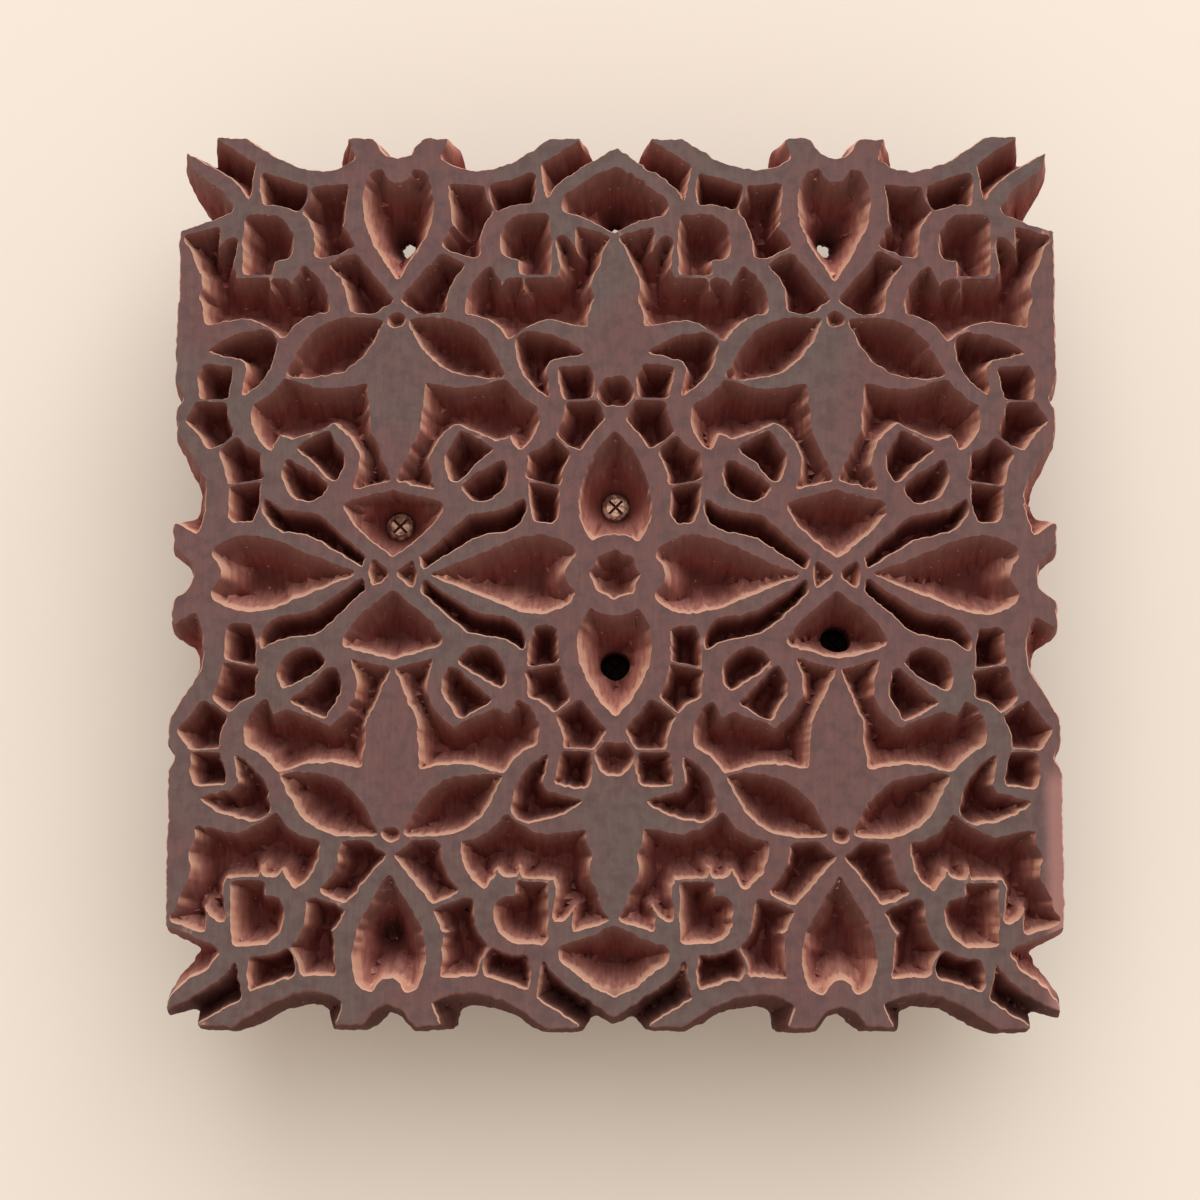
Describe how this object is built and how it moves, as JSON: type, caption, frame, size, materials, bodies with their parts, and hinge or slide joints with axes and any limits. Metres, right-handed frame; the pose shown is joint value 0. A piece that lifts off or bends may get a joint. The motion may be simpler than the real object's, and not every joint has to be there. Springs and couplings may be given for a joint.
{
  "type": "wooden printing block",
  "caption": "Square wooden block for printing cloth, with a deep carved lattice of petals and leaves on its face and a grooved wooden grip screwed to its back.",
  "frame": {"origin": "middle of the grip's resting face, under the middle of the block", "axes": "+Z out of the printing face, +Y towards the top of the pattern in the picture, +X to its right and along the grip"},
  "size_m": [0.1518, 0.1536, 0.05],
  "materials": {
    "carved_wood": "dense red-brown hardwood, hand carved, face stained by printing colour",
    "grip_wood": "lighter hardwood, worn smooth by the hand",
    "screw_steel": "dull steel"
  },
  "bodies": {
    "root": {"carved_block": "carved_wood", "back_handle": "grip_wood", "handle_screws": "screw_steel"}
  },
  "joints": []
}
